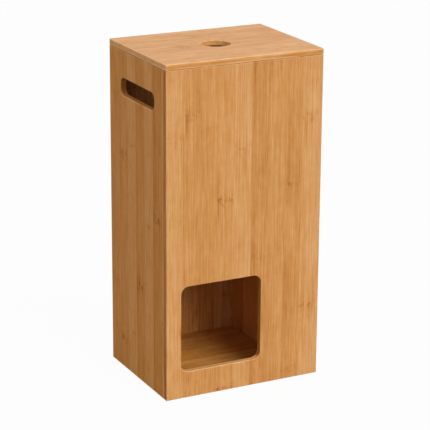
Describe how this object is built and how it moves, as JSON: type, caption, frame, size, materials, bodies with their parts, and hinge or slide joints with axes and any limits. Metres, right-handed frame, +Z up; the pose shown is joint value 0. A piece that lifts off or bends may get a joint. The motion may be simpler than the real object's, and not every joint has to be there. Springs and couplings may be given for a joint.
{
  "type": "toilet roll storage box",
  "caption": "Upright bamboo box for toilet rolls, with a lift-off lid with a finger hole, a window low in the front and hand slots in the sides.",
  "frame": {"origin": "on the floor, under the middle of the box's outline", "axes": "+Z up; the front with the window faces -Y; +X is to the right for someone who looks at the front"},
  "size_m": [0.25, 0.192, 0.5],
  "materials": {
    "bamboo_front": "satin clear lacquer on pressed bamboo",
    "bamboo_back": "satin clear lacquer on pressed bamboo",
    "bamboo_left_side": "satin clear lacquer on pressed bamboo",
    "bamboo_right_side": "satin clear lacquer on pressed bamboo",
    "bamboo_floor": "satin clear lacquer on pressed bamboo",
    "bamboo_divider": "satin clear lacquer on pressed bamboo",
    "bamboo_lid": "satin clear lacquer on pressed bamboo",
    "bamboo_batten": "satin clear lacquer on pressed bamboo",
    "dowel_wood": "bare beech",
    "screw_steel": "bright zinc",
    "clear_pad": "clear silicone",
    "foot_rubber": "matt rubber"
  },
  "bodies": {
    "box": {"front_panel": "bamboo_front", "back_panel": "bamboo_back", "left_side_panel": "bamboo_left_side", "right_side_panel": "bamboo_right_side", "floor_panel": "bamboo_floor", "divider_panel": "bamboo_divider", "dowels_front_left": "dowel_wood", "dowels_front_right": "dowel_wood", "dowels_back_left": "dowel_wood", "dowels_back_right": "dowel_wood", "dowels_floor_left": "dowel_wood", "dowels_floor_right": "dowel_wood", "dowels_floor_front": "dowel_wood", "dowels_floor_back": "dowel_wood", "dowels_divider_front": "dowel_wood", "dowels_divider_back": "dowel_wood", "foot_front_left": "foot_rubber", "foot_front_right": "foot_rubber", "foot_back_left": "foot_rubber", "foot_back_right": "foot_rubber"},
    "lid": {"lid_panel": "bamboo_lid", "lid_batten_front": "bamboo_batten", "lid_batten_back": "bamboo_batten", "lid_batten_screws": "screw_steel", "lid_rest_pads": "clear_pad"}
  },
  "joints": [
    {"name": "lid_lift", "type": "slide", "parent": "box", "child": "lid", "axis": [0, 0, 1], "range_m": [0, 0.12]}
  ]
}
